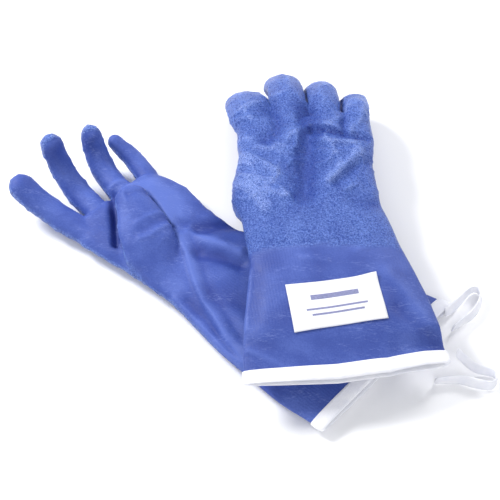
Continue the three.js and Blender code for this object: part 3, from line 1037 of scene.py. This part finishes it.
def smooth_side(n, turn, matte, painted_light_tone, cloud, painted_relief_light_and_tone, grain):
    """Bare nitrile: satin, with pale streaks painted on as highlights, the knit just showing.
    Colour, gloss and height.
    """
    scuff = n.noise(230, 3, 0.7, stretch=((1, 4, 1), turn))
    streak = n.noise(30, 3, 0.6, stretch=((1, 5, 1), turn))
    # painted fold highlight and shade join the random tone here
    shade = n.add(n.times(cloud, 0.7), n.times(painted_relief_light_and_tone, 0.30))
    shade = n.add(shade, n.times(n.noise(800, 2), 0.35))
    shade = n.add(shade, n.times(scuff, 0.25))
    # painted light: one glove's blues are lightened
    blues = [(at, tuple(painted_light_tone * value for value in blue)) for at, blue in SMOOTH_BLUES]
    # painted highlight: pale streaks where the scuff and streak noise are both high
    painted_streak_glint = n.times(n.above(scuff, 0.50, 5.0), n.above(streak, 0.50, 2.5))
    painted_streak_glint = n.math("MINIMUM", painted_streak_glint, 0.17)
    colour = n.blend(painted_streak_glint, n.ramp(shade, blues), n.ramp(scuff, STREAK_GLINTS))
    gloss = n.add(n.add(n.times(streak, 0.25), n.times(scuff, 0.45)), matte)
    knit = n.times(n.wave(118, turn, 2.5), n.noise(240, 2, 0.6))
    height = n.add(n.times(knit, 0.16), n.times(grain, 0.22))
    height = n.add(n.add(height, n.times(scuff, 0.35)), n.times(streak, 0.35))
    return colour, gloss, height


def rough_side(n, cloud, painted_relief_light_and_tone, grain):
    """The over-dip's crumbs, with painted pale glints on its ridges. Colour, gloss and height."""
    lumps = n.noise(640, 3, 0.65)
    heap = n.add(n.times(lumps, 1.3), n.times(grain, 0.7))
    shade = n.add(n.times(heap, 0.5), n.times(cloud, 0.08))
    # painted fold highlight and shade
    shade = n.add(shade, n.times(painted_relief_light_and_tone, 0.055))
    # painted highlight: pale glints where the fold ridges stand high and the grain peaks
    painted_glint_reach = n.times(n.math("SUBTRACT", painted_relief_light_and_tone, 0.40), n.math("GREATER_THAN", grain, 0.57))
    glint = n.math("MAXIMUM", n.math("MINIMUM", n.times(painted_glint_reach, 2.2), 0.9), 0.0)
    colour = n.blend(glint, n.ramp(shade, COAT_BLUES), n.ramp(lumps, GLINTS))
    gloss = n.add(n.times(lumps, 0.5), 0.08)
    height = n.math("SUBTRACT", n.times(heap, 1.6), n.times(n.cells(750), 0.8))
    return colour, gloss, height


def glove_skin(turn, matte, painted_light_tone):
    """Blue nitrile: smooth with a satin gloss, or rough and granular where coat is 1.

    matte is added to the smooth side's roughness, and the second value lightens its colour: painted
    light, so that the left glove's copy of the same nitrile is painted lighter.
    """
    n = Nodes(f"nitrile_{turn}")
    coat = n.attribute("coat")
    # painted fold highlight and shade, with random tone, read from the skin
    painted_relief_light_and_tone = n.attribute("painted_relief_light_and_tone")
    cloud = n.noise(28, 3)
    grain = n.noise(1300, 3, 0.7)
    smooth = smooth_side(n, turn, matte, painted_light_tone, cloud, painted_relief_light_and_tone, grain)
    rough = rough_side(n, cloud, painted_relief_light_and_tone, grain)
    colour = n.blend(coat, smooth[0], rough[0])
    gloss, height = (n.between(coat, smooth[k], rough[k]) for k in (1, 2))
    return n.finish(colour, gloss, n.bump(height, 0.8, 0.9), Specular_IOR_Level=0.4)


def cotton(name, colour, shade, turn):
    """Narrow woven cotton tape."""
    n = Nodes(name)
    weave = n.times(n.wave(520, turn), n.wave(520, turn + 90))
    cloud = n.noise(90, 3)
    tint = n.ramp(cloud, [(0.3, shade), (0.7, colour)])
    height = n.add(n.times(weave, 0.5), n.times(cloud, 0.8))
    normal = n.bump(height, 0.3, 0.6)
    return n.finish(tint, None, normal, Roughness=0.85, Sheen_Weight=0.25)


def lining_knit():
    """Soft ribbed knit, greyer than the tape."""
    n = Nodes("lining_knit")
    rib = n.times(n.wave(260, 20, 2.0), n.noise(700, 2))
    tint = n.ramp(n.noise(150, 3), [(0.3, (0.50, 0.52, 0.66)), (0.7, (0.66, 0.68, 0.80))])
    normal = n.bump(rib, 0.8, 0.8)
    return n.finish(tint, None, normal, Roughness=0.95, Sheen_Weight=0.3)


def label_cloth():
    """White damask with three plain blue bars and no lettering."""
    n = Nodes("label_cloth")
    spot = n.attribute("spot", "Vector")
    split = n.tree.nodes.new("ShaderNodeSeparateXYZ")
    n.link(spot, split.inputs["Vector"])
    s = split.outputs["X"]
    t = split.outputs["Y"]

    def within(source, middle, half):
        gap = n.math("ABSOLUTE", n.math("SUBTRACT", source, middle))
        return n.math("LESS_THAN", gap, half)

    bars = None
    for middle, half_long, half_tall in ((0.66, 0.26, 0.055), (0.40, 0.33, 0.022),
                                         (0.28, 0.28, 0.022)):
        bar = n.times(within(s, 0.5, half_long), within(t, middle, half_tall))
        bars = bar if bars is None else n.math("MAXIMUM", bars, bar)
    weave = n.times(n.wave(900, 8), n.wave(900, 98))
    white = n.ramp(n.noise(120, 3), [(0.3, (0.80, 0.81, 0.86)), (0.7, (0.90, 0.90, 0.93))])
    blue = n.ramp(n.noise(900, 2), [(0.3, (0.05, 0.06, 0.22)), (0.7, (0.16, 0.18, 0.42))])
    colour = n.blend(n.times(bars, 0.85), white, blue)
    normal = n.bump(n.add(weave, n.times(bars, 0.6)), 0.15, 0.6)
    return n.finish(colour, None, normal, Roughness=0.7, Sheen_Weight=0.15)


def thread():
    """White sewing thread."""
    n = Nodes("thread")
    twist = n.noise(2400, 2)
    tint = n.ramp(twist, [(0.3, (0.78, 0.79, 0.86)), (0.7, (0.92, 0.92, 0.95))])
    return n.finish(tint, None, n.bump(twist, 0.1), Roughness=0.7)


# ---------- camera, light and floor ----------

def add_camera():
    data = bpy.data.cameras.new("camera")
    data.lens = LENS
    data.sensor_width = 36
    camera = bpy.data.objects.new("camera", data)
    bpy.context.scene.collection.objects.link(camera)
    tilt = math.radians(VIEW_ANGLE)
    away = VIEW_DISTANCE
    camera.location = (ORIGIN[0] * MM, -away * math.cos(tilt), away * math.sin(tilt))
    camera.rotation_euler = (math.pi / 2 - tilt, 0, 0)
    bpy.context.scene.camera = camera
    bpy.context.scene.view_settings.view_transform = "Standard"


def add_light(name, location, target, size, power):
    data = bpy.data.lights.new(name, "AREA")
    data.shape = "DISK"
    data.size = size
    data.energy = power
    light = bpy.data.objects.new(name, data)
    light.location = location
    aim = Vector(target) - Vector(location)
    light.rotation_euler = aim.to_track_quat("-Z", "Y").to_euler()
    bpy.context.scene.collection.objects.link(light)


def add_studio():
    n = Nodes("floor_paper")
    tint = n.ramp(n.noise(3, 2), [(0.3, (0.93, 0.93, 0.94)), (0.7, (0.95, 0.95, 0.96))])
    paper = n.finish(tint, Roughness=0.9)
    corners = [(-4, -4, 0), (4, -4, 0), (4, 4, 0), (-4, 4, 0)]
    make_object("floor", np.array(corners) - (0, 0, 0.0002), [(0, 1, 2, 3)], paper)
    world = bpy.data.worlds.new("studio")
    world.use_nodes = True
    world.node_tree.nodes["Background"].inputs["Color"].default_value = (0.93, 0.95, 1, 1)
    world.node_tree.nodes["Background"].inputs["Strength"].default_value = 0.55
    bpy.context.scene.world = world
    add_light("key", (-1.1, 0.6, 1.2), (0, 0, 0), 0.5, 27)
    add_light("fill", (0.9, 0.9, 1.1), (0, 0, 0), 0.5, 11)
    add_light("front", (0.2, -1.3, 1.2), (0, 0, 0), 1.0, 9)


# ---------- everything ----------

add_camera()
tape = cotton("cotton_tape", (0.90, 0.90, 0.93), (0.80, 0.81, 0.88), 30)
stitch_thread = thread()
for side in ("left", "right"):
    build_loop(side, tape)
for glove in (LEFT, RIGHT):
    skin = build_skin(glove, glove_skin(-glove["turn"], *glove["finish"]))
    build_binding(glove, tape)
    build_stitching(glove, stitch_thread)
    build_lining(glove, lining_knit())
    if glove is RIGHT:
        build_label(skin, label_cloth(), stitch_thread)
add_studio()
